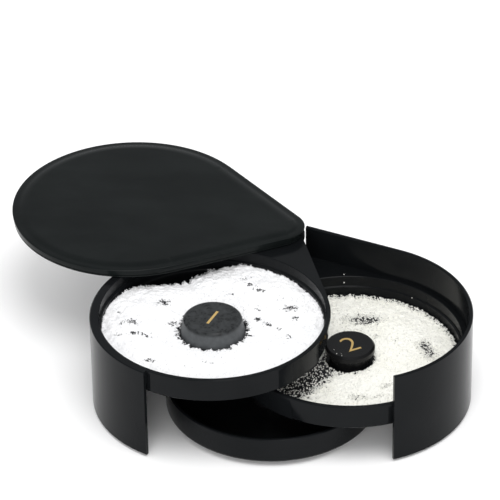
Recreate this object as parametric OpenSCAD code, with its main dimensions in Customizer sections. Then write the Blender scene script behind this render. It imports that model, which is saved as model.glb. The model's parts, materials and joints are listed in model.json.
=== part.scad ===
// Three-tier cocktail glass rimmer.
// Two swing-out trays and a lid turn about one upright bolt at the back of a base dish.
// Origin: middle of the base dish, on the counter. +Y points to the pivot, -Y is the front, +Z is up.

/* [Plan] */
// Outer radius of the closed stack
tray_r = 75; // [65:1:85]
// Distance from a dish's middle to the pivot
swing_r = 97; // [92:1:105]
// Radius of the round end of every tray about the pivot
hub_end_r = 16; // [15:0.5:17]
// Outer radius of the base dish
base_r = 65.4; // [60:0.2:68]
// Gap between a dish and the wall that closes round it
nest_gap = 0.4; // [0.4:0.1:0.8]

/* [Heights] */
// Height from one dish's rim to the next
tier_h = 21.2; // [20:0.2:24]
// Outside depth of a dish
dish_depth = 17; // [15:0.5:17]
// Thickness of the rubber pad and heel foot
pad_h = 2.6; // [2:0.1:4]
// Gap between the tall walls and the counter
wall_lift = 1; // [0.8:0.1:2]
// Height of the front band below a rim
band_h = 15; // [10:0.5:15]

/* [Moulding] */
// Thickness of the tall walls
wall_t = 2.5; // [2:0.1:3]
// Thickness of the dish floors
floor_t = 2; // [1.8:0.1:2.4]
// Thickness of the decks
deck_t = 2.5; // [2:0.1:3]
// Width of the flat rim
rim_w = 2.8; // [2.6:0.1:3.2]
// Depth of the step inside the rim
step_h = 7.5; // [4:0.5:8]

/* [Lid] */
// Outer radius of the lid's disc
lid_r = 76.2; // [75.6:0.2:77.6]
// Overall height of the lid's edge
lid_h = 6.2; // [5.8:0.2:7]
// Thickness of the lid's plate
plate_t = 2.4; // [2:0.1:3]

/* [Knobs] */
// Height of the knobs above the dish floor
knob_h = 11.2; // [9:0.2:12]
// Top radius of the tapered knob in the top dish
wide_knob_r = 18; // [15:0.5:20]
// Radius of the mushroom knobs in the two lower dishes
cap_knob_r = 15.4; // [14:0.2:17]

/* [Pose] */
// How far the top tray is swung out to the left
top_open = 22; // [0:1:75]
// How far the middle tray is swung out to the right
mid_open = 29.2; // [0:0.2:75]
// How far the lid is swung away
lid_open = 102.5; // [0:0.5:180]

/* [Hidden] */
$fn = 96;

// Heights of the three rims, from the counter
base_rim = pad_h + dish_depth;
mid_rim = base_rim + tier_h;
top_rim = mid_rim + tier_h;
lid_low = top_rim + 0.4;

// Radii shared by the two swinging trays
wall_in = tray_r - wall_t;
dish_r = wall_in - nest_gap;
web_in = dish_r - 1.4;
inner_end_r = hub_end_r - wall_t - nest_gap + 0.1;

// Angles in plan, counted from the front of a tray towards its walled side
wall_tilt = asin((tray_r - hub_end_r) / swing_r);
wall_len = swing_r * cos(wall_tilt);
rear_gap = 11.8;
seam_mid = -6.6;
seam_top = 7.4;
slot_a = 2.2;
band_end = -59;
panel_end = -90;
mid_band_end = -57;
mid_band_lean = 7;

// Pivot hardware
bolt_r = 3;
bush_play = 0.05;
bush_r = 5;
bush_flange_r = 7;
bush_flange_t = 1;
press = 0.03;
washer_r = 9;
washer_bore_r = 3.3;
washer_t = 0.7;
lid_washer_t = 0.3;
axial_play = 0.1;
head_r = 5.5;
head_z = 3;
head_h = 3.4;
spring_seat = 8.6;
insert_r = 4.2;
insert_h = 4.2;

// Hills of the crystal beds: length, direction and start of each wave
HILLS = [[24, 25, 40], [19, 100, 200], [29, 155, 310]];

// Knob fixing
spigot_r = 7.7;
spigot_h = 5;
screw_r = 1.5;
screw_head_r = 2.9;

plastic = [0.10, 0.11, 0.12];
steel = [0.72, 0.73, 0.75];
acetal = [0.88, 0.87, 0.83];

// Points on an arc, for profiles
function arc(cx, cy, rx, ry, a0, a1, n) =
    [for (i = [0:n]) let (a = a0 + (a1 - a0) * i / n) [cx + rx * cos(a), cy + ry * sin(a)]];

// Tilt in plan of the straight edge that touches a disc and a round end
function edge_tilt(r, end_r) = asin((r - end_r) / swing_r);

// The two points where that edge touches the disc and the end; side is 1 or -1
function edge_points(r, end_r, side) =
    let (t = edge_tilt(r, end_r))
    [[side * r * cos(t), r * sin(t)], [side * end_r * cos(t), swing_r + end_r * sin(t)]];

// Turn a part about the pivot
module swung(angle) {
    translate([0, swing_r, 0])
        rotate([0, 0, angle])
            translate([0, -swing_r, 0])
                children();
}

// Place a part on the pivot's axis
module at_pivot(z = 0) {
    translate([0, swing_r, z]) children();
}

// Ring sector with a turned profile, from angle a0 to a1 counted from the front
module sector(a0, a1, profile) {
    rotate([0, 0, a0 - 90]) rotate_extrude(angle = a1 - a0) polygon(profile);
}

module ring(r_out, r_in, h) {
    difference() {
        cylinder(r = r_out, h = h);
        translate([0, 0, -1]) cylinder(r = r_in, h = h + 2);
    }
}

// Flat plate with different straight edges on its right and left sides
module teardrop_plate(r_right, end_right, r_left, end_left, h) {
    right = edge_points(r_right, end_right, 1);
    left = edge_points(r_left, end_left, -1);
    linear_extrude(h) polygon([right[0], right[1], left[1], left[0]]);
}

// Turned profile of a dish, with its rim at z = 0: flat rim, step inside, rounded floor corners
function dish_profile(rim_r, bowl_r, lip_r) =
    let (corner = 2.6, rim_t = 1.8, round_r = 3, ledge_r = lip_r - 1.1)
    concat(
        [[0, floor_t - dish_depth]],
        arc(ledge_r - round_r, floor_t - dish_depth + round_r, round_r, round_r, -90, 0, 4),
        [[ledge_r, -step_h], [lip_r, -step_h + 0.6], [lip_r, -0.4], [lip_r + 0.4, 0]],
        [[rim_r - 0.5, 0], [rim_r, -0.5], [rim_r, -rim_t], [bowl_r, -rim_t - 0.3]],
        arc(bowl_r - corner, corner - dish_depth, corner, corner, 0, -90, 4),
        [[0, -dish_depth]]
    );

// Hole for the knob's screw, up through the floor and the spigot
module knob_screw_hole() {
    translate([0, 0, -dish_depth - 1]) cylinder(r = screw_r + 0.2, h = floor_t + spigot_h + 2);
    translate([0, 0, -dish_depth - 1]) cylinder(r = screw_head_r + 0.2, h = 2.8);
}

// Dish with the spigot that carries its knob
module dish(rim_r, bowl_r, lip_r) {
    difference() {
        union() {
            rotate_extrude() polygon(dish_profile(rim_r, bowl_r, lip_r));
            translate([0, 0, floor_t - dish_depth]) cylinder(r = spigot_r, h = spigot_h);
        }
        knob_screw_hole();
    }
}

// Deck from the dish back to the pivot, without the dish's own area; top face at z = 0
module deck(r_right, end_right, r_left, end_left, cut_r) {
    translate([0, 0, -deck_t]) difference() {
        union() {
            teardrop_plate(r_right, end_right, r_left, end_left, deck_t);
            at_pivot() cylinder(r = hub_end_r, h = deck_t);
        }
        translate([0, 0, -1]) cylinder(r = cut_r, h = deck_t + 2);
    }
}

// Hub tube under a deck, with ribs that tie it to the dish
module hub(tube_r, h, rib_h, reach) {
    rib_t = 2;
    rib_x = tube_r - 2.4;
    at_pivot(-h) cylinder(r = tube_r, h = h);
    for (side = [-1, 1]) {
        translate([side * rib_x - rib_t / 2, reach, -rib_h])
            cube([rib_t, swing_r - reach - 2, rib_h]);
    }
}

// Bore for a flanged bush, open below
module bush_bore(z0, z1) {
    at_pivot(z0 - 1) cylinder(r = bush_r - press, h = z1 - z0 + 2);
    at_pivot(z0 - 1) cylinder(r = bush_flange_r + 0.1, h = bush_flange_t + 1);
}

// Flanged bush with its flange flush below; it runs on the bolt
module bush(z0, z1) {
    at_pivot(z0) difference() {
        union() {
            cylinder(r = bush_r, h = z1 - z0);
            cylinder(r = bush_flange_r, h = bush_flange_t);
        }
        translate([0, 0, -1]) cylinder(r = bolt_r + bush_play, h = z1 - z0 + 2);
    }
}

module thrust_washer(z, t) {
    at_pivot(z) ring(washer_r, washer_bore_r, t);
}

// Section of a tall wall: radius or offset across, height up; a web joins it to the rim
function wall_profile(rim) =
    let (ease = 0.6, web_h = 8)
    concat(
        [[wall_in, wall_lift], [tray_r - ease, wall_lift], [tray_r, wall_lift + ease]],
        [[tray_r, top_rim - ease], [tray_r - ease, top_rim]],
        rim < top_rim ? [[wall_in + ease, top_rim], [wall_in, top_rim - ease], [wall_in, rim]] : [],
        [[web_in, rim], [web_in, rim - web_h], [wall_in, rim - web_h - 1.5]]
    );

// Tall wall on the right: round the dish from its front edge, then straight back towards the pivot
module tall_wall(front_a, rim) {
    straight = wall_len - rear_gap;
    sector(front_a, wall_tilt + 90, wall_profile(rim));
    rotate([0, 0, wall_tilt])
        translate([0, straight, 0])
            rotate([90, 0, 0])
                linear_extrude(straight) polygon(wall_profile(rim));
}

// Rectangular profile of a band that hangs below the rim, with an eased lower edge
function band_profile(r, z_low, z_high) =
    [[web_in - 0.6, z_low], [r - 0.5, z_low], [r, z_low + 0.5], [r, z_high], [web_in - 0.6, z_high]];

// Front band of the top tray: full radius, then a shallower panel past a small step
module top_band() {
    sector(band_end, seam_top - slot_a, band_profile(dish_r, -band_h, -1));
    sector(panel_end, band_end + 0.5, band_profile(dish_r - 0.9, -band_h - 1, -1));
}

// Front band of the middle tray: its free end leans back as it falls
module mid_band() {
    lean = dish_r * tan(mid_band_lean);
    difference() {
        sector(mid_band_end, seam_mid - slot_a, band_profile(dish_r, -band_h, -1));
        rotate([0, 0, mid_band_end - 90])
            translate([web_in - 4, 0, 0])
                rotate([90, 0, 90])
                    linear_extrude(8) polygon([[-4, -1.8], [0, -1.8], [lean * 0.12, -band_h * 0.4],
                        [lean * 0.4, -band_h * 0.7], [lean, -band_h], [lean, -band_h - 2], [-4, -band_h - 2]]);
    }
    sector(panel_end, mid_band_end + 0.5, band_profile(dish_r - 0.9, -band_h - 1, -1));
}

// Swinging tray with its wall on the right, at closed position and with its rim at the given height
module swing_tray(rim, front_a) {
    hub_low = rim - tier_h + washer_t + axial_play;
    difference() {
        union() {
            translate([0, 0, rim]) {
                dish(dish_r, web_in, dish_r - rim_w);
                deck(wall_in + 1, hub_end_r - 1.5, dish_r, inner_end_r, web_in - 0.4);
                hub(washer_r, rim - hub_low, 9, web_in - 0.5);
                children();
            }
            tall_wall(front_a, rim);
        }
        bush_bore(hub_low, rim);
    }
}

// Cap with straight tapered sides, seated on the spigot
module wide_knob(floor_z) {
    foot_r = wide_knob_r + 2;
    translate([0, 0, floor_z]) difference() {
        rotate_extrude() polygon([[0, 0], [foot_r, 0], [foot_r, 0.8], [wide_knob_r, knob_h - 1],
            [wide_knob_r - 1, knob_h], [0, knob_h]]);
        knob_socket();
    }
}

// Cap with a bevelled disc on a narrower neck, seated on the spigot
module cap_knob(floor_z) {
    neck_r = cap_knob_r - 2.9;
    disc_t = 4.8;
    translate([0, 0, floor_z]) difference() {
        rotate_extrude() polygon([[0, 0], [neck_r, 0], [neck_r, knob_h - disc_t],
            [cap_knob_r - 0.6, knob_h - disc_t], [cap_knob_r, knob_h - disc_t + 0.6],
            [cap_knob_r, knob_h - 1.4], [cap_knob_r - 1.2, knob_h], [0, knob_h]]);
        knob_socket();
    }
}

// Socket for the spigot and the blind hole for the screw's thread
module knob_socket() {
    translate([0, 0, -1]) cylinder(r = spigot_r + 0.2, h = spigot_h + 1.2);
    translate([0, 0, spigot_h]) cylinder(r = screw_r - press, h = knob_h - spigot_h - 1.4);
}

// Screw that holds a knob, its head let into the dish's underside
module knob_screw(floor_z) {
    head_h = 1.5;
    low = floor_z - floor_t;
    translate([0, 0, low + 0.2]) difference() {
        cylinder(r = screw_head_r, h = head_h);
        translate([0, 0, -1]) cylinder(r = 1.2, h = 1.8, $fn = 6);
    }
    translate([0, 0, low + 0.2 + head_h - 0.1]) cylinder(r = screw_r, h = spigot_h + 4);
}

// Height of the hills at a place, from -1 to 1
function hill(x, y) =
    let (waves = [for (w = HILLS) cos(360 * (x * cos(w[1]) + y * sin(w[1])) / w[0] + w[2])])
    (waves[0] + waves[1] + waves[2]) / 3;

// Bed of crystals: low round the knob, rising to the wall, with gentle hills.
// Its edge is drawn in from the wall by up to "dip" round the angle dip_a.
module fill(floor_z, r_in, r_out, low, high, swell, dip = 0, dip_a = 0) {
    around = 40;
    across = 7;
    side = min(high - 2 * swell, 3.4);
    function edge(a) = r_out - dip * exp(-pow((a - dip_a) / 23, 2));
    function reach(row, a) =
        row == 0 ? r_in :
        row == across + 2 ? edge(a) :
        row == across + 3 ? edge(a) - 3.3 :
        r_in + (edge(a) - r_in) * (row - 1) / across;
    function rise(s) = let (t = min(1, s * 1.5)) low + (high - low) * t * t * (3 - 2 * t);
    function height(row, x, y) =
        row == 0 || row == across + 3 ? 0 :
        row == across + 2 ? side :
        let (s = (row - 1) / across) rise(s) + swell * (0.4 + 0.6 * s) * hill(x, y);
    spots = [for (row = [0:across + 3], i = [0:around - 1])
        let (a = 360 * i / around, x = reach(row, a) * cos(a), y = reach(row, a) * sin(a))
        [x, y, height(row, x, y)]];
    sides = [for (row = [0:across + 3], i = [0:around - 1])
        let (next = (row + 1) % (across + 4), j = (i + 1) % around)
        each [[row * around + i, next * around + i, next * around + j],
              [row * around + i, next * around + j, row * around + j]]];
    translate([0, 0, floor_z]) polyhedron(spots, sides, 8);
}

// Top edge of the lid: slight fall, small step, ledge, rounded corner
function lid_corner(r, top) =
    concat([[r - 9.6, top], [r - 5.6, top - 0.12], [r - 5.1, top - 0.42], [r - 2.4, top - 0.56]],
        arc(r - 0.7, top - 1.3, 0.7, 0.7, 84, 0, 4));

// Edge of the lid from its top face down: top edge, leaning side, groove, lower lip
function lid_edge(r) =
    let (low = lid_low, top = low + lid_h)
    concat(
        lid_corner(r, top),
        [[r - 0.4, top - 4.3], [r - 1, top - 4.3], [r - 1, top - 4.8]],
        [[r - 0.6, top - 5], [r - 0.6, low + 0.4], [r - 1, low]]
    );

// ---- base ----

module base_tray() {
    side_t = 2;
    plate_r = base_r - 0.6;
    foot_r = hub_end_r - 0.5;
    tube_r = 11;
    color(plastic) difference() {
        union() {
            translate([0, 0, base_rim]) {
                dish(base_r, base_r, base_r - 2.2);
                deck(plate_r, inner_end_r, plate_r, inner_end_r, base_r - 1);
                hub(tube_r, dish_depth, 9, base_r - 1.2);
            }
            // side walls under the deck, down to the counter side
            translate([0, 0, pad_h]) difference() {
                teardrop_plate(plate_r, inner_end_r, plate_r, inner_end_r, dish_depth);
                translate([0, 0, -1]) teardrop_plate(plate_r - side_t, inner_end_r - side_t,
                    plate_r - side_t, inner_end_r - side_t, dish_depth + 2);
                translate([0, 0, -1]) cylinder(r = base_r - 1, h = dish_depth + 2);
            }
            at_pivot(pad_h) cylinder(r = foot_r, h = side_t);
        }
        bush_bore(spring_seat, base_rim);
        at_pivot(pad_h - 1) cylinder(r = washer_r, h = spring_seat - pad_h + 1);
    }
}

module base_knob() {
    color(plastic) cap_knob(pad_h + floor_t);
}

module base_knob_screw() {
    color(steel) knob_screw(pad_h + floor_t);
}

module base_bush() {
    color(acetal) bush(spring_seat, base_rim);
}

module base_pad() {
    pad_r = base_r - 8;
    color([0.16, 0.16, 0.17]) rotate_extrude()
        polygon([[0, 0], [pad_r - 0.6, 0], [pad_r, 0.6], [pad_r, pad_h], [0, pad_h]]);
}

module heel_foot() {
    color([0.16, 0.16, 0.17]) at_pivot() ring(hub_end_r - 1, washer_r + 1, pad_h);
}

module head_washer() {
    color(steel) at_pivot(head_z + head_h + axial_play) ring(8.6, washer_bore_r, 0.8);
}

// Conical spring washer between the head's washer and the hub's shoulder
module disc_spring() {
    low = head_z + head_h + axial_play + 0.8;
    t = 0.5;
    color(steel) at_pivot() rotate_extrude() polygon([
        [washer_bore_r, spring_seat - t], [7.6, low], [8, low + 0.1], [8, low + t], [washer_bore_r, spring_seat]
    ]);
}

module lower_thrust_washer() {
    color(acetal) thrust_washer(base_rim, washer_t);
}

// ---- middle tray, swung out to the right ----

module mid_tray() {
    color(plastic) swung(mid_open) swing_tray(mid_rim, seam_mid) mid_band();
}

module mid_knob() {
    color(plastic) swung(mid_open) cap_knob(mid_rim - dish_depth + floor_t);
}

module mid_knob_screw() {
    color(steel) swung(mid_open) knob_screw(mid_rim - dish_depth + floor_t);
}

module mid_bush() {
    color(acetal) bush(base_rim + washer_t + axial_play, mid_rim);
}

module mid_thrust_washer() {
    color(acetal) thrust_washer(mid_rim, washer_t);
}

module mid_fill() {
    color([0.93, 0.92, 0.86]) swung(mid_open)
        fill(mid_rim - dish_depth + floor_t, cap_knob_r - 2.6, dish_r - rim_w - 2.1, 1.1, 1.7, 0.35);
}

// ---- top tray, swung out to the left ----

module top_tray() {
    color(plastic) swung(-top_open) mirror([1, 0, 0]) swing_tray(top_rim, seam_top) top_band();
}

module top_knob() {
    color(plastic) swung(-top_open) wide_knob(top_rim - dish_depth + floor_t);
}

module top_knob_screw() {
    color(steel) swung(-top_open) knob_screw(top_rim - dish_depth + floor_t);
}

module top_bush() {
    color(acetal) bush(mid_rim + washer_t + axial_play, top_rim);
}

module top_thrust_washer() {
    color(acetal) thrust_washer(top_rim, lid_washer_t);
}

module top_fill() {
    color([0.95, 0.95, 0.95]) swung(-top_open)
        fill(top_rim - dish_depth + floor_t, wide_knob_r + 2.4, dish_r - rim_w - 1.3, 2.2, 5.8, 0.9, 14, 138);
}

// ---- lid, swung over the back to the left ----

// Section of the lid's rim: the edge, the wall under it and the plate inwards to radius or offset r_in
function lid_section(r, r_in) =
    let (edge = lid_edge(r), top = edge[0][1], low = edge[len(edge) - 1][1])
    concat([[r_in, top]], edge, [[r - 3.2, low], [r - 3.2, top - plate_t - 1], [r_in, top - plate_t]]);

// Straight rim on the right side of the lid, a hair proud of the disc and the lug that it laps
module lid_side(inset) {
    tilt = edge_tilt(lid_r, hub_end_r);
    lap = 1;
    proud = 0.05;
    lift = 0.02;
    span = swing_r * cos(tilt) + 2 * lap;
    rotate([0, 0, tilt])
        translate([0, span - lap, lift])
            rotate([90, 0, 0])
                linear_extrude(span) polygon(lid_section(lid_r + proud, lid_r - inset - lap));
}

module lid() {
    top = lid_low + lid_h;
    inset = 10.5;
    lug_side = hub_end_r - 1.7;
    lug = concat([[0, top]], lid_corner(hub_end_r, top),
        [[hub_end_r - 0.2, top - 2.6], [lug_side, top - 2.6], [lug_side, lid_low], [0, lid_low]]);
    color(plastic) swung(-lid_open) difference() {
        union() {
            rotate_extrude() polygon(lid_section(lid_r, 0));
            lid_side(inset);
            mirror([1, 0, 0]) lid_side(inset);
            at_pivot() rotate_extrude() polygon(lug);
            translate([0, 0, top - plate_t])
                teardrop_plate(lid_r - inset, hub_end_r - inset, lid_r - inset, hub_end_r - inset, plate_t);
        }
        at_pivot(lid_low - 1) cylinder(r = insert_r - press, h = insert_h + 1);
    }
}

module lid_insert() {
    color([0.80, 0.62, 0.30]) at_pivot(lid_low) ring(insert_r, bolt_r - press, insert_h - 0.1);
}

// Bolt from below through all the hubs; it is screwed into the lid's insert
module pivot_bolt() {
    reach = lid_low + insert_h - 0.4;
    color(steel) at_pivot() difference() {
        union() {
            rotate_extrude() polygon([[0, head_z], [head_r - 0.8, head_z], [head_r, head_z + 0.8],
                [head_r, head_z + head_h], [0, head_z + head_h]]);
            translate([0, 0, head_z + head_h - 0.1]) cylinder(r = bolt_r, h = reach - head_z - head_h + 0.1);
        }
        translate([0, 0, head_z - 1]) cylinder(r = 2.3, h = 3, $fn = 6);
    }
}

base_tray();
base_knob();
base_knob_screw();
base_bush();
base_pad();
heel_foot();
head_washer();
disc_spring();
lower_thrust_washer();
mid_tray();
mid_knob();
mid_knob_screw();
mid_bush();
mid_thrust_washer();
mid_fill();
top_tray();
top_knob();
top_knob_screw();
top_bush();
top_thrust_washer();
top_fill();
lid();
lid_insert();
pivot_bolt();
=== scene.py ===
"""Cocktail glass rimmer: swinging trays of crystals and a teardrop lid over a base dish.

Units are metres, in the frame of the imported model. A tray's own places are given as if it were closed,
with its dish centred on the origin, and are then turned about the pivot with it.
"""
import json
import math

import bpy
import numpy as np
from mathutils import Matrix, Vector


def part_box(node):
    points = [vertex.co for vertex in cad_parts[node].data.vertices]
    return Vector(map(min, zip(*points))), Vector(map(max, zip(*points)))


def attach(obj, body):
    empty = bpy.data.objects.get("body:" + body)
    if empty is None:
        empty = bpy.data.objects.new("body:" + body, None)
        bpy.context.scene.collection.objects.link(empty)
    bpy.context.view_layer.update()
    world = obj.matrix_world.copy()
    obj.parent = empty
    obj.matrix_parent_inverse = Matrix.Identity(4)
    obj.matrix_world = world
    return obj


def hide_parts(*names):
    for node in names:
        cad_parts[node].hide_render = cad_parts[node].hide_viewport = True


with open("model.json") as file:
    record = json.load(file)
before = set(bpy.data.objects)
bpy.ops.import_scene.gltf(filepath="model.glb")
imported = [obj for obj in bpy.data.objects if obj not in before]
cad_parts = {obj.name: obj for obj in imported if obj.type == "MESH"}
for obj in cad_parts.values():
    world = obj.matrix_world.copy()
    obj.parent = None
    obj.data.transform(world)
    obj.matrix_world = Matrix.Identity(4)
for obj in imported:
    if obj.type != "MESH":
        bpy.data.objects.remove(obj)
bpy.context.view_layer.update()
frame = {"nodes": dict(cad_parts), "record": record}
nodes = frame["nodes"]

MM = 0.001
PIVOT_BACK = 97.0
PIVOT = np.array([0.0, PIVOT_BACK]) * MM
# How far each body with new pieces stands open, in radians, positive to the right
OPEN = {"base": 0.0, "middle": math.radians(29.2), "top": math.radians(-22.0)}
# Heights of the dish floors, on which the knobs stand, and the depth of a dish from rim to floor
FLOOR_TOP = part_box("top_knob")[0].z
FLOOR_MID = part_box("mid_knob")[0].z
DISH_INSIDE = 15.0


# ---------------------------------------------------------------- camera

YAW, PITCH, ROLL = 3.78, 33.22, -0.88
CAMERA_FROM_PIVOT = np.array([-18.71, -1850.15, 1261.33])
FOCAL_LENGTH, SENSOR_WIDTH = 252.0, 36.0


def camera():
    """Long lens at the photograph's angle: 33 degrees down, turned a little to the left."""
    yaw, pitch, roll = math.radians(YAW), math.radians(PITCH), math.radians(ROLL)
    turn = np.array([[math.cos(yaw), -math.sin(yaw), 0], [math.sin(yaw), math.cos(yaw), 0], [0, 0, 1]])
    ahead = np.array([0, math.cos(pitch), -math.sin(pitch)])
    over = np.array([0, math.sin(pitch), math.cos(pitch)])
    side = np.array([1.0, 0, 0])
    right = math.cos(roll) * side + math.sin(roll) * over
    up = -math.sin(roll) * side + math.cos(roll) * over
    place = Matrix.Identity(4)
    for column, axis in enumerate((right, up, -ahead)):
        for row in range(3):
            place[row][column] = (turn @ axis)[row]
    stand = turn @ CAMERA_FROM_PIVOT + np.array([0, PIVOT_BACK, 0])
    for row in range(3):
        place[row][3] = stand[row] * MM
    data = bpy.data.cameras.new("studio_camera")
    data.lens, data.sensor_width, data.sensor_fit = FOCAL_LENGTH, SENSOR_WIDTH, "HORIZONTAL"
    data.clip_start, data.clip_end = 0.1, 30.0
    cam = bpy.data.objects.new("studio_camera", data)
    cam.matrix_world = place
    bpy.context.scene.collection.objects.link(cam)
    bpy.context.scene.camera = cam


# ---------------------------------------------------------------- shader maths

class Value:
    """A socket's value; an expression on values adds its Math nodes to the same finish."""

    def __init__(self, finish, socket):
        self.finish, self.socket = finish, socket

    def maths(self, operation, *inputs):
        return self.finish.add("ShaderNodeMath", {"operation": operation}, dict(enumerate(inputs)))

    def __add__(self, other): return self.maths("ADD", self, other)
    def __radd__(self, other): return self.maths("ADD", other, self)
    def __sub__(self, other): return self.maths("SUBTRACT", self, other)
    def __rsub__(self, other): return self.maths("SUBTRACT", other, self)
    def __mul__(self, other): return self.maths("MULTIPLY", self, other)
    def __rmul__(self, other): return self.maths("MULTIPLY", other, self)
    def least(self, other): return self.maths("MINIMUM", self, other)
    def most(self, other): return self.maths("MAXIMUM", self, other)

    def ramp(self, low, high, to_low=0.0, to_high=1.0):
        """Smooth step from to_low, where the value is low, up to to_high."""
        return self.finish.add("ShaderNodeMapRange", {"interpolation_type": "SMOOTHSTEP"},
                               {"Value": self, "From Min": low, "From Max": high,
                                "To Min": to_low, "To Max": to_high}, "Result")


class Finish:
    """One material: its nodes come from add(), and look() sets the surface's sockets."""

    def __init__(self, name):
        self.material = bpy.data.materials.new(name)
        self.material.use_nodes = True
        self.tree = self.material.node_tree
        self.tree.nodes.clear()
        self.surface = self.tree.nodes.new("ShaderNodeBsdfPrincipled")
        self.add("ShaderNodeOutputMaterial", {}, {"Surface": Value(self, self.surface.outputs[0])}, None)
        self.place = self.add("ShaderNodeTexCoord", {}, {}, "Object")

    def add(self, kind, settings, inputs, output=0):
        """A node of this kind: settings first, then its sockets' numbers or links; gives back one output."""
        node = self.tree.nodes.new(kind)
        for key, setting in settings.items():
            setattr(node, key, setting)
        self.fill(node, inputs)
        return None if output is None else Value(self, node.outputs[output])

    def fill(self, node, inputs):
        for key, given in inputs.items():
            if isinstance(given, Value):
                self.tree.links.new(given.socket, node.inputs[key])
            else:
                node.inputs[key].default_value = given

    def look(self, **inputs):
        self.fill(self.surface, {key.replace("_", " "): given for key, given in inputs.items()})
        return self.material

    def noise(self, size, detail=2.0, rough=0.5, place=None):
        """Fractal noise with features of this size in metres."""
        return self.add("ShaderNodeTexNoise", {},
                        {"Vector": place or self.place, "Scale": 1 / size, "Detail": detail,
                         "Roughness": rough}, 0)

    def cells(self, size, output="Distance"):
        """Cell pattern with cells of this size in metres: the distance to a cell's middle, or its colour."""
        return self.add("ShaderNodeTexVoronoi", {}, {"Vector": self.place, "Scale": 1 / size}, output)

    def stretched(self, x, y, z):
        """The place, scaled by each axis, for drawn or turned marks."""
        return self.add("ShaderNodeMapping", {}, {"Vector": self.place, "Scale": (x, y, z)})

    def blend(self, share, first, second):
        """Colour between two colours."""
        return self.add("ShaderNodeMix", {"data_type": "RGBA"}, {0: share, 6: first, 7: second}, 2)

    def bump(self, height, depth):
        """Normal from a height of 0 to 1 that stands for this depth in metres."""
        return self.add("ShaderNodeBump", {}, {"Height": height, "Distance": depth, "Strength": 1.0})

    def attribute(self, name):
        return self.add("ShaderNodeAttribute", {"attribute_name": name}, {}, "Fac")


def moulded_plastic(name, colour, rough, gloss, reflection_streaks=0.0):
    """Injection-moulded plastic: faint flow shading, fine orange peel and light handling marks; the last
    argument paints streaks of the room's reflection into the colour.
    """
    f = Finish(name)
    flow = f.noise(0.045, 3.0)
    peel = f.noise(0.0016, 2.0)
    haze = f.noise(0.012, 4.0, 0.6).ramp(0.45, 0.75)
    rubs = f.noise(0.004, 3.0, 0.6, f.stretched(0.25, 1.0, 1.0)).ramp(0.62, 0.8)
    # Painted reflection: lighter streaks stand for the room reflected in the glossy surface, scaled by the
    # last argument.
    painted_reflection_cloud = f.noise(0.022, 5.0, 0.65, f.stretched(0.4, 1.0, 1.0)).ramp(0.35, 0.7)
    tone = f.blend(flow.ramp(0.3, 0.7) * 0.5 + rubs * 0.1 + painted_reflection_cloud * reflection_streaks, (*colour, 1),
                   (*[c * 1.5 + 0.002 for c in colour], 1))
    return f.look(Base_Color=tone, Roughness=haze * 0.05 + rubs * 0.05 + painted_reflection_cloud * reflection_streaks * 0.1 + rough,
                  Normal=f.bump(peel * 0.6 + flow * 0.4, 0.00004), Specular_IOR_Level=gloss)


def dusty_plastic(name, colour, dust_colour, low, high):
    """The same plastic under fine crystal dust, which thins out from the height low up to the height high."""
    f = Finish(name)
    level = f.add("ShaderNodeSeparateXYZ", {}, {"Vector": f.place}, 2)
    patch = f.noise(0.0035, 4.0, 0.65)
    film = (level.ramp(low, high, 0.55, 0.12) + patch * 0.6 - 0.3).most(0.0).least(1.0)
    tone = f.blend(film, (*colour, 1), (*dust_colour, 1))
    return f.look(Base_Color=tone, Roughness=film * 0.35 + 0.25, Specular_IOR_Level=0.2)


def crystal_bed(name, colour, shade):
    """Loose crystals: facets of two sizes, a colour that varies in broad patches, painted shade in the
    crevices between grains, and bare plastic where the cover attribute says that the bed is too thin."""
    f = Finish(name)
    grain = f.cells(0.0008)
    fine = f.cells(0.00038)
    each = f.cells(0.0008, "Color")
    cover = f.attribute("cover")
    hidden = (f.noise(0.0011, 3.0, 0.65) * 2.4 - 0.7 + cover).ramp(0.95, 1.05)
    tint = f.blend(f.noise(0.02, 3.0).ramp(0.35, 0.7) * 0.6, (*colour, 1), (*shade, 1))
    # Painted shade: each grain is darker towards its edges, where shade falls between the grains.
    crevice_shaded = f.blend(grain.ramp(0.25, 0.75) * 0.14, tint, (*[c * 0.72 for c in shade], 1))
    tone = f.blend(hidden, (0.012, 0.012, 0.014, 1), crevice_shaded)
    height = (1 - grain) * 0.6 + (1 - fine) * 0.25 + each * 0.15
    return f.look(Base_Color=tone, Roughness=hidden * 0.3 + each * 0.12 + 0.25,
                  Normal=f.bump(height * hidden, 0.00035))


def loose_grains(name, colour):
    """Single crystals: clear to milky, each a little different."""
    f = Finish(name)
    each = f.noise(0.0009, 1.0)
    tone = f.blend(each.ramp(0.35, 0.65), (*colour, 1), (*[c * 0.82 for c in colour], 1))
    return f.look(Base_Color=tone, Roughness=each * 0.3 + 0.15, Coat_Weight=0.3, Coat_Roughness=0.1)


def gold_print():
    """Hot-stamped gold numerals, slightly worn at the edges."""
    f = Finish("gold_print")
    wear = f.noise(0.0007, 3.0, 0.7).ramp(0.56, 0.72)
    tone = f.blend(wear * 0.6, (0.56, 0.38, 0.13, 1), (0.20, 0.14, 0.06, 1))
    return f.look(Base_Color=tone, Roughness=wear * 0.3 + 0.35, Metallic=0.25 - wear * 0.2)


def soft_rubber():
    f = Finish("soft_rubber")
    pore = f.noise(0.0006, 2.0)
    dust = f.noise(0.008, 4.0).ramp(0.55, 0.8)
    tone = f.blend(dust * 0.4, (0.022, 0.022, 0.023, 1), (0.07, 0.07, 0.07, 1))
    return f.look(Base_Color=tone, Roughness=dust * 0.1 + 0.75, Normal=f.bump(pore, 0.00006))


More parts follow.
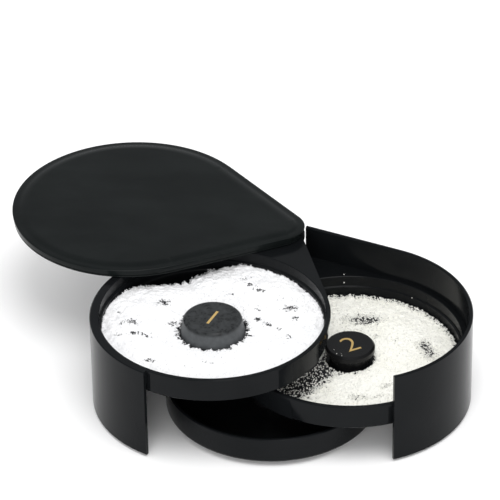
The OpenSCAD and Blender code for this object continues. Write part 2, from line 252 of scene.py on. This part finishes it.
def turned_metal(name, colour):
    """Turned steel or brass: fine rings about the upright axis."""
    f = Finish(name)
    rings = f.noise(0.0004, 2.0, 0.5, f.stretched(0.3, 0.3, 4.0))
    blotch = f.noise(0.006, 3.0).ramp(0.4, 0.8)
    tone = f.blend(blotch * 0.3, (*colour, 1), (*[c * 0.7 for c in colour], 1))
    return f.look(Base_Color=tone, Metallic=1.0, Roughness=rings * 0.2 + 0.2, Normal=f.bump(rings, 0.00001))


def milky_acetal():
    f = Finish("milky_acetal")
    flow = f.noise(0.006, 3.0)
    tone = f.blend(flow.ramp(0.3, 0.7), (0.76, 0.75, 0.71, 1), (0.68, 0.67, 0.62, 1))
    return f.look(Base_Color=tone, Roughness=flow * 0.15 + 0.35)


# ---------------------------------------------------------------- mesh helpers

def turned_out(points, body):
    """Points of a closed tray, turned about the pivot to where that body stands at rest."""
    a = OPEN[body]
    flat = points[:, :2] - PIVOT
    turned = flat @ np.array([[math.cos(a), math.sin(a)], [-math.sin(a), math.cos(a)]])
    return np.column_stack([turned + PIVOT, points[:, 2]])


def piece(name, points, faces, material, body, smooth=True):
    """A mesh object from points and rows of three or four corners; it rides on the body."""
    mesh = bpy.data.meshes.new(name)
    size = faces.shape[1]
    mesh.vertices.add(len(points))
    mesh.vertices.foreach_set("co", points.astype(np.float32).ravel())
    mesh.loops.add(faces.size)
    mesh.loops.foreach_set("vertex_index", faces.astype(np.int32).ravel())
    mesh.polygons.add(len(faces))
    mesh.polygons.foreach_set("loop_start", np.arange(len(faces), dtype=np.int32) * size)
    mesh.polygons.foreach_set("use_smooth", np.full(len(faces), smooth))
    mesh.update(calc_edges=True)
    mesh.materials.append(material)
    thing = bpy.data.objects.new(name, mesh)
    bpy.context.scene.collection.objects.link(thing)
    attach(thing, body)
    return thing


def rolling(x, y, size, seed, waves=20):
    """Smooth random hills of about this size: the mean of plane waves in random directions."""
    rng = np.random.default_rng(seed)
    turn = rng.uniform(0, 2 * math.pi, waves)
    pitch = 2 * math.pi / (size * rng.uniform(0.7, 1.6, waves))
    start = rng.uniform(0, 2 * math.pi, waves)
    total = np.zeros_like(x)
    for t, p, s in zip(turn, pitch, start):
        total += np.cos(x * p * math.cos(t) + y * p * math.sin(t) + s)
    return total * math.sqrt(2.0 / waves)


def soft(low, high, value):
    """Smooth step of an array from low to high."""
    t = np.clip((value - low) / (high - low), 0, 1)
    return t * t * (3 - 2 * t)


def spot(x, y, cx, cy, wide, tall, lean=0.0):
    """Bell-shaped patch, 1 in its middle, with half widths wide and tall, leaning by an angle."""
    c, s = math.cos(lean), math.sin(lean)
    u = ((x - cx) * c + (y - cy) * s) / wide
    v = (-(x - cx) * s + (y - cy) * c) / tall
    return np.exp(-(u * u + v * v))


def heap(name, body, material, floor, inner, outer, depth, cover):
    """Closed bed of crystals on a ring: radius runs from inner(angle) to outer(angle), and the top surface
    is depth(x, y, share) above the floor, where share is 0 at the knob and 1 at the wall."""
    around, across = 620, 118
    a = np.linspace(0, 2 * math.pi, around, endpoint=False)
    share = np.linspace(0, 1, across)[:, None]
    r = inner(a)[None, :] * (1 - share) + outer(a)[None, :] * share
    x, y = r * np.cos(a)[None, :], r * np.sin(a)[None, :]
    s = np.broadcast_to(share, x.shape)
    z = floor + np.maximum(depth(x, y, s), THINNEST)
    top = np.column_stack([x.ravel(), y.ravel(), z.ravel()])
    rims = [np.column_stack([x[row], y[row], np.full(around, floor + 0.00002)]) for row in (-1, 0)]
    points = np.vstack([top] + rims)
    step = (np.arange(around) + 1) % around
    here = np.arange(around)
    rows = []
    order = list(range(across)) + [across, across + 1, 0]
    for low, high in zip(order[:-1], order[1:]):
        rows.append(np.column_stack([low * around + here, high * around + here,
                                     high * around + step, low * around + step]))
    thing = piece(name, turned_out(points, body), np.vstack(rows), material, body)
    layer = thing.data.attributes.new("cover", "FLOAT", "POINT")
    full = np.concatenate([cover(x, y, s).ravel(), np.ones(2 * around)])
    layer.data.foreach_set("value", full.astype(np.float32))
    return thing


def grains(name, body, material, places, size, seed):
    """Loose crystals: a blunt eight-sided grain at each place, each with its own size, stretch and turn."""
    rng = np.random.default_rng(seed)
    count = len(places)
    corners = np.array([[1, 0, 0], [-1, 0, 0], [0, 1, 0], [0, -1, 0], [0, 0, 1], [0, 0, -1]], float)
    sides = np.array([[0, 2, 4], [2, 1, 4], [1, 3, 4], [3, 0, 4], [2, 0, 5], [1, 2, 5], [3, 1, 5], [0, 3, 5]])
    q = rng.normal(size=(count, 4))
    q /= np.linalg.norm(q, axis=1)[:, None]
    w, i, j, k = q.T
    turn = np.stack([
        np.stack([1 - 2 * (j * j + k * k), 2 * (i * j - k * w), 2 * (i * k + j * w)], 1),
        np.stack([2 * (i * j + k * w), 1 - 2 * (i * i + k * k), 2 * (j * k - i * w)], 1),
        np.stack([2 * (i * k - j * w), 2 * (j * k + i * w), 1 - 2 * (i * i + j * j)], 1)], 1)
    scale = size * rng.uniform(0.55, 1.25, (count, 1)) * rng.uniform(0.7, 1.2, (count, 3)) * 0.5
    local = corners[None] * scale[:, None, :]
    points = np.einsum("nab,ncb->nca", turn, local) + places[:, None, :]
    faces = sides[None] + (np.arange(count) * 6)[:, None, None]
    return piece(name, turned_out(points.reshape(-1, 3), body), faces.reshape(-1, 3),
                 material, body, smooth=False)


# ---------------------------------------------------------------- finishes

black = moulded_plastic("black_moulding", (0.0042, 0.0048, 0.0054), 0.16, 0.085)
# The lid's last argument of 0.5 paints streaks of reflection into its colour.
lid_black = moulded_plastic("lid_moulding", (0.0040, 0.0052, 0.0052), 0.17, 0.10, 0.5)
knob_black = moulded_plastic("knob_moulding", (0.0062, 0.0062, 0.0066), 0.24, 0.16)
knob_dusty = dusty_plastic("knob_with_dust", (0.009, 0.010, 0.0105), (0.125, 0.133, 0.14), FLOOR_TOP + 0.008,
                           FLOOR_TOP + 0.0105)
white_bed = crystal_bed("white_crystals", (0.92, 0.92, 0.925), (0.87, 0.875, 0.89))
cream_bed = crystal_bed("cream_crystals", (0.985, 0.98, 0.92), (0.965, 0.955, 0.87))
white_grain = loose_grains("white_grain", (0.93, 0.93, 0.94))
cream_grain = loose_grains("cream_grain", (0.97, 0.965, 0.91))
gold = gold_print()
FINISH = {
    "black_plastic": black, "knob_plastic": knob_black,
    "white_crystals": white_bed, "cream_crystals": cream_bed,
    "rubber": soft_rubber(), "acetal": milky_acetal(),
    "steel": turned_metal("turned_steel", (0.60, 0.60, 0.61)),
    "brass": turned_metal("turned_brass", (0.72, 0.52, 0.22)),
}
OWN_FINISH = {"lid": lid_black, "top_knob": knob_dusty}


def dress(part):
    """Finish and smooth shading for one solid of the model; edges sharper than 32 degrees stay sharp."""
    thing = nodes[part["node"]]
    for socket in thing.material_slots:
        socket.material = OWN_FINISH.get(part["node"], FINISH[part["material_slot"]])
    weld = thing.modifiers.new("weld", "WELD")
    weld.merge_threshold = 0.00001
    thing.data.polygons.foreach_set("use_smooth", np.ones(len(thing.data.polygons), bool))
    split = thing.modifiers.new("sharp_edges", "EDGE_SPLIT")
    split.split_angle = math.radians(32)


for part in frame["record"]["subparts"]:
    dress(part)


# ---------------------------------------------------------------- beds of crystals

# The model's waves: length in millimetres, direction and start in degrees
HILLS = ((24, 25, 40), (19, 100, 200), (29, 155, 310))
# The model's bed heights in millimetres: at the knob, at the wall, and the swell of the hills
TOP_RISE = (2.2, 5.8, 0.9)
MID_RISE = (1.1, 1.7, 0.35)
# Radii between which a bed lies, at the knob and at the wall
TOP_FOOT, TOP_EDGE = 0.0216, 0.0679
TOP_KNOB_FOOT = 0.0201
MID_FOOT, MID_EDGE = 0.0155, 0.0665
# The least depth of a bed, so that it stays closed where it runs out
THINNEST = 0.00012


def hill(x, y):
    """The gentle hills of the model's beds, from -1 to 1: the mean of three plane waves."""
    total = 0.0
    for length, lean, start in HILLS:
        t = math.radians(lean)
        along = x * math.cos(t) + y * math.sin(t)
        total = total + np.cos(2 * math.pi * along / (length * MM) + math.radians(start))
    return total / 3


def bed_height(x, y, share, low, high, swell):
    """The model's bed in millimetres: low at the knob (share 0), rising smoothly to the wall (share 1)."""
    return low + (high - low) * soft(0.0, 1 / 1.5, share) + swell * (0.4 + 0.6 * share) * hill(x, y)


def patches(x, y, places):
    """Sum of spots (x, y, half length, half width, lean in degrees, strength), places in millimetres, with
    outlines that wander by up to about a millimetre."""
    total = np.zeros_like(x)
    x, y = x + 0.0008 * rolling(x, y, 0.003, 61), y + 0.0008 * rolling(x, y, 0.003, 62)
    for cx, cy, wide, tall, lean, strength in places:
        total += strength * spot(x, y, cx * MM, cy * MM, wide * MM, tall * MM, math.radians(lean))
    return total


def ragged(radius, rough, size, seed):
    """A circle whose radius wanders by rough, over steps of about this size."""
    def edge(a):
        x, y = radius * np.cos(a), radius * np.sin(a)
        wander = rolling(x, y, size, seed) + 0.7 * rolling(x, y, size / 3, seed + 1)
        return radius + rough * wander / 2
    return edge


def lobe(a, middle, width):
    """Bell over an angle, 1 at its middle; both given in degrees."""
    off = (np.degrees(a) - middle + 180) % 360 - 180
    return np.exp(-(off / width) ** 2)


# Places where a bed is thin or bare, as patches() takes them
# In TOP_HOLES the patch at (-39.5, 11.5) is only known to be darker; it is darkened and lowered like the
# holes.
TOP_HOLES = [
    (35.5, 36.5, 4.6, 3.2, 35, 1.1), (42.4, 27.5, 3.6, 2.0, 70, 0.75), (20.4, 21.5, 2.2, 1.8, 0, 0.9),
    (28.8, 18.1, 4.0, 1.6, -15, 0.8), (38.1, 14.1, 1.6, 1.3, 0, 0.9), (47.3, 8.8, 1.5, 1.4, 0, 1.1),
    (-46.6, -17.0, 3.8, 2.6, 30, 0.9), (-40.7, -27.3, 2.8, 2.0, 60, 0.9), (-34.0, -24.3, 4.0, 1.5, 10, 0.75),
    (-51.8, -21.7, 1.6, 1.5, 0, 0.8), (-18.4, -48.7, 3.0, 1.8, 25, 1.0), (-39.5, 11.5, 4.4, 3.0, 45, 0.75),
    (-25.8, -4.0, 3.4, 1.8, 60, 0.85), (1.3, 50.4, 4.4, 1.6, -20, 0.85), (10.0, 47.0, 4.0, 1.5, 15, 0.8),
    (-6.6, 38.3, 2.8, 1.6, 0, 0.55), (-48.0, -33.0, 2.8, 1.6, 20, 0.6), (12.9, -34.9, 4.4, 0.7, 6, 0.65),
    (-4.0, 55.0, 3.0, 1.4, 40, 0.55), (17.0, 30.0, 2.8, 1.2, -30, 0.55), (3.0, -45.0, 2.0, 1.2, 0, 0.45),
    (25.0, 44.0, 3.0, 1.4, 20, 0.6), (-58.0, -10.0, 2.0, 1.2, 50, 0.45)]
MID_HOLES = [
    (27.5, 31.0, 7.5, 3.4, -29, 0.74), (26.0, 33.0, 13.0, 6.6, -29, 0.55), (46.9, -9.5, 3.6, 3.0, 80, 0.74),
    (45.4, -20.0, 4.8, 2.8, 75, 0.66), (46.0, -14.5, 11.5, 5.6, 83, 0.48), (5.7, -36.6, 5.0, 3.0, 0, 0.58),
    (-15.2, -40.0, 5.6, 2.8, -25, 0.58), (24.5, 13.0, 3.0, 2.0, 0, 0.52), (-4.0, -44.0, 3.4, 2.0, 10, 0.5),
    (34.0, 5.0, 2.8, 1.8, 0, 0.45), (-2.0, 20.0, 3.0, 2.0, 0, 0.35)]


def top_cover(x, y, share):
    """1 where the bed hides the plastic; less at the small holes and in a thin ring at the knob's foot."""
    holes = patches(x, y, TOP_HOLES)
    foot = np.exp(-share / 0.02) * 0.8
    return 1.0 - np.minimum(holes + foot, 1.15)


def top_depth(x, y, share):
    """The model's bed with finer lumps, sunk at the holes, along a rubbed arc and at its drawn-in edge."""
    angle = np.arctan2(y, x)
    base = bed_height(x, y, share, *TOP_RISE)
    base = base * (1 - 0.45 * lobe(angle, 138, 25) * soft(0.86, 1.0, share))
    lumps = 0.16 * rolling(x, y, 0.008, 4) + 0.12 * rolling(x, y, 0.0045, 7)
    grain = 0.12 * rolling(x, y, 0.0026, 5) + 0.08 * rolling(x, y, 0.0013, 6)
    arc = np.exp(-((np.hypot(x, y) - 0.0355) / 0.0005) ** 2) * lobe(angle, -102, 34)
    dug = 1.4 * np.minimum(patches(x, y, TOP_HOLES), 1.0) + 0.28 * arc
    return (base + lumps * (0.35 + share) + grain - dug) * MM


def top_inner(a):
    """The bed's ragged edge round the knob, kept clear of the knob's foot."""
    return np.maximum(ragged(TOP_FOOT, 0.0017, 0.0045, 11)(a), TOP_KNOB_FOOT)


def top_outer(a):
    """The bed's edge at the wall, drawn in by about 14 mm at the back left, as the model's is."""
    drawn_in = 0.014 + 0.0011 * rolling(np.cos(a), np.sin(a), 0.09, 17)
    return ragged(TOP_EDGE, 0.0003, 0.005, 13)(a) - drawn_in * lobe(a, 138, 23)


top_bed = heap("top_bed", "top", white_bed, FLOOR_TOP,
               top_inner, top_outer, top_depth, top_cover)
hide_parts("top_fill")


def bare_strip(x, y):
    """1 where the middle dish is swept bare, from the knob out to the wall at the front left, 0 elsewhere."""
    c, s = math.cos(math.radians(26.5)), math.sin(math.radians(26.5))
    along = ((x + 0.035) * c + (y + 0.009) * s) / 0.029
    across = (-(x + 0.035) * s + (y + 0.009) * c) / 0.0105
    return 1 - soft(0.25, 1.6, np.sqrt(along ** 4 + across ** 2) + 0.12 * rolling(x, y, 0.005, 51))


def mid_cover(x, y, share):
    """1 where the bed hides the plastic; less on the bare strip, at holes and towards both edges."""
    bare = 1.5 * bare_strip(x, y)
    edge = 0.62 * soft(0.92, 1.0, share) + 0.5 * np.exp(-share / 0.02)
    return 1.0 - np.minimum(bare + edge + patches(x, y, MID_HOLES), 1.25)


def mid_depth(x, y, share):
    """The model's thin bed with finer lumps; it runs out to nothing on the bare strip."""
    base = bed_height(x, y, share, *MID_RISE)
    lumps = 0.13 * rolling(x, y, 0.008, 24) + 0.10 * rolling(x, y, 0.0045, 27)
    grain = 0.11 * rolling(x, y, 0.0026, 25) + 0.08 * rolling(x, y, 0.0013, 26)
    dug = 0.5 * np.minimum(patches(x, y, MID_HOLES), 1.0)
    return (base + lumps * (0.4 + share) + grain - dug) * (1 - bare_strip(x, y)) * MM


def mid_inner(a):
    """The bed's ragged edge round the knob, pushed back where the bare strip begins."""
    return ragged(MID_FOOT, 0.0008, 0.004, 31)(a) + 0.0024 * lobe(a, -140, 25)


mid_bed = heap("mid_bed", "middle", cream_bed, FLOOR_MID, mid_inner,
               ragged(MID_EDGE, 0.0009, 0.0035, 33), mid_depth, mid_cover)
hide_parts("mid_fill")


# ---------------------------------------------------------------- loose grains

# Radii between which loose grains are tried
GRAINS_FROM, GRAINS_TO = 0.0140, 0.0677
# A bed for its grains: floor, radius at the knob, radius at the wall, depth and cover
TOP_BED = (FLOOR_TOP, lambda a: np.full_like(a, TOP_FOOT), top_outer, top_depth, top_cover)
MID_BED = (FLOOR_MID, lambda a: np.full_like(a, 0.0160), lambda a: np.full_like(a, MID_EDGE),
           mid_depth, mid_cover)


def lay_grains(name, body, material, bed, size, count, chance, seed):
    """Loose crystals on a bed and up its edge. Places are tried at random over the dish, and
    chance(cover, share) is how likely a grain stays; share is 0 at the knob and 1 at the wall."""
    floor, inner, outer, depth, cover = bed
    rng = np.random.default_rng(seed)
    r = np.sqrt(rng.uniform(GRAINS_FROM ** 2, GRAINS_TO ** 2, count))
    a = rng.uniform(-math.pi, math.pi, count)
    x, y = r * np.cos(a), r * np.sin(a)
    share = (r - inner(a)) / (outer(a) - inner(a))
    on_bed = (share > 0) & (share < 1)
    held = np.clip(share, 0, 1)
    thin = np.where(on_bed, cover(x, y, held), 0.0)
    climb = np.where(share > 0.985, rng.uniform(0, 0.0008, count), 0.0)
    z = floor + np.where(share > 0, np.maximum(depth(x, y, held), THINNEST), 0.0) + climb + size * 0.2
    keep = rng.uniform(0, 1, count) < chance(thin, share)
    return grains(name, body, material, np.column_stack([x, y, z])[keep], size, seed + 1)


def top_chance(thin, share):
    """A few everywhere on the bed, more beside its holes and most along its edge at the wall."""
    on_bed = 0.10 + 0.3 * (thin < 0.8) + 0.6 * (share > 0.97)
    return np.where(share < 0, 0.0, np.where(share > 1, 0.25, on_bed)) * (share < 1.01)


def mid_chance(thin, share):
    """A few everywhere on the bed, many where it thins out, fewer on bare plastic, and a rim at the wall."""
    on_bed = 0.10 + 0.7 * (thin < 0.8) * np.clip(thin + 0.35, 0.17, 1.0) + 0.8 * (share > 0.95)
    return np.where(share < -0.02, 0.0, np.where(share > 1, 1.0 * (share < 1.012), on_bed))


lay_grains("top_grains", "top", white_grain, TOP_BED, 0.0008, 16000, top_chance, 41)
lay_grains("mid_grains", "middle", cream_grain, MID_BED, 0.00115, 28000, mid_chance, 43)


def strays(name, body, material, places, size, seed):
    """A few grains that fell elsewhere, at places given in millimetres."""
    return grains(name, body, material, np.array(places, float) * MM, size, seed)


KNOB_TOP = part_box("mid_knob")[1].z / MM + 0.2
MID_RIM = FLOOR_MID / MM + DISH_INSIDE
strays("knob_strays", "middle", cream_grain, [
    (-11.5, -1.1, KNOB_TOP), (-12.0, -5.6, KNOB_TOP), (-10.2, -9.0, KNOB_TOP), (-9.5, -6.8, KNOB_TOP)],
    0.0006, 71)
strays("wall_strays", "middle", cream_grain, [
    (28.0, 62.2, MID_RIM - 4.0), (29.3, 64.9, MID_RIM + 0.2), (60.0, 31.6, MID_RIM - 7.0)], 0.00095, 72)


# ---------------------------------------------------------------- numerals

# Letter height, half thickness, and how much the strokes are thinned
NUMERAL_SIZE, NUMERAL_HALF_THICK, NUMERAL_THINNED = 0.0215, 0.00004, -0.00025
NUMERAL_LIFT = 0.00003


def numeral(name, text, knob, body):
    """A thin raised gold numeral in the middle of a knob's top face, its head towards the pivot."""
    curve = bpy.data.curves.new(name, "FONT")
    curve.body, curve.size = text, NUMERAL_SIZE
    curve.extrude, curve.offset = NUMERAL_HALF_THICK, NUMERAL_THINNED
    curve.align_x, curve.align_y, curve.resolution_u = "CENTER", "CENTER", 6
    carrier = bpy.data.objects.new(name + "_curve", curve)
    bpy.context.scene.collection.objects.link(carrier)
    bpy.context.view_layer.update()
    drawn = bpy.data.meshes.new_from_object(carrier.evaluated_get(bpy.context.evaluated_depsgraph_get()))
    bpy.data.objects.remove(carrier)
    flat = np.empty(len(drawn.vertices) * 3)
    drawn.vertices.foreach_get("co", flat)
    points = flat.reshape(-1, 3)
    points[:, :2] -= (points[:, :2].max(0) + points[:, :2].min(0)) / 2
    points[:, 2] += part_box(knob)[1].z + NUMERAL_LIFT
    drawn.vertices.foreach_set("co", turned_out(points, body).ravel())
    drawn.materials.clear()
    drawn.materials.append(gold)
    thing = bpy.data.objects.new(name, drawn)
    bpy.context.scene.collection.objects.link(thing)
    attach(thing, body)


numeral("numeral_top", "1", "top_knob", "top")
numeral("numeral_middle", "2", "mid_knob", "middle")
numeral("numeral_base", "3", "base_knob", "base")


# ---------------------------------------------------------------- stage

def studio_floor():
    """A wide pale floor, a hair below the rubber feet."""
    size = 6.0
    mesh = bpy.data.meshes.new("studio_floor")
    corners = [(-size, -size, 0), (size, -size, 0), (size, size, 0), (-size, size, 0)]
    mesh.from_pydata(corners, [], [(0, 1, 2, 3)])
    f = Finish("studio_floor")
    shade = f.noise(0.9, 2.0)
    f.look(Base_Color=f.blend(shade * 0.3, (1.0, 1.0, 1.0, 1), (0.98, 0.98, 0.98, 1)), Roughness=0.6,
           Specular_IOR_Level=0.1)
    mesh.materials.append(f.material)
    floor = bpy.data.objects.new("studio_floor", mesh)
    floor.location.z = -0.0003
    bpy.context.scene.collection.objects.link(floor)


def surround():
    """White for the camera, pale for reflections, and soft light from all round."""
    world = bpy.data.worlds.new("studio")
    bpy.context.scene.world = world
    world.use_nodes = True
    tree = world.node_tree
    tree.nodes.clear()
    rays = tree.nodes.new("ShaderNodeLightPath")

    def backdrop(colour, strength):
        node = tree.nodes.new("ShaderNodeBackground")
        node.inputs[0].default_value, node.inputs[1].default_value = (*colour, 1), strength
        return node.outputs[0]

    def either(ray, other, this):
        node = tree.nodes.new("ShaderNodeMixShader")
        for at, link in enumerate((rays.outputs[ray], other, this)):
            tree.links.new(link, node.inputs[at])
        return node.outputs[0]

    room = either("Is Glossy Ray", backdrop((0.985, 0.985, 0.99), 0.88), backdrop((0.95, 0.98, 1.0), 0.54))
    out = tree.nodes.new("ShaderNodeOutputWorld")
    tree.links.new(either("Is Camera Ray", room, backdrop((1, 1, 1), 1.0)), out.inputs[0])


def soft_lamp(name, stand, aim, wide, power):
    """A round soft box of this width in metres and power in watts, that faces aim."""
    data = bpy.data.lights.new(name, "AREA")
    data.shape, data.size, data.energy = "DISK", wide, power
    lamp = bpy.data.objects.new(name, data)
    ahead = np.array(aim, float) - np.array(stand)
    ahead /= np.linalg.norm(ahead)
    side = np.cross(ahead, (0, 0, 1))
    side /= np.linalg.norm(side)
    over = np.cross(side, ahead)
    place = Matrix.Identity(4)
    for row in range(3):
        for column, entry in enumerate((side[row], over[row], -ahead[row], stand[row])):
            place[row][column] = entry
    lamp.matrix_world = place
    bpy.context.scene.collection.objects.link(lamp)


bpy.context.scene.view_settings.view_transform = "Standard"
camera()
studio_floor()
surround()
soft_lamp("key_lamp", (0.25, -0.55, 1.9), (0, 0, 0), 1.4, 18.5)
soft_lamp("front_lamp", (-0.2, -2.2, 0.6), (0, 0, 0.03), 1.6, 23.5)
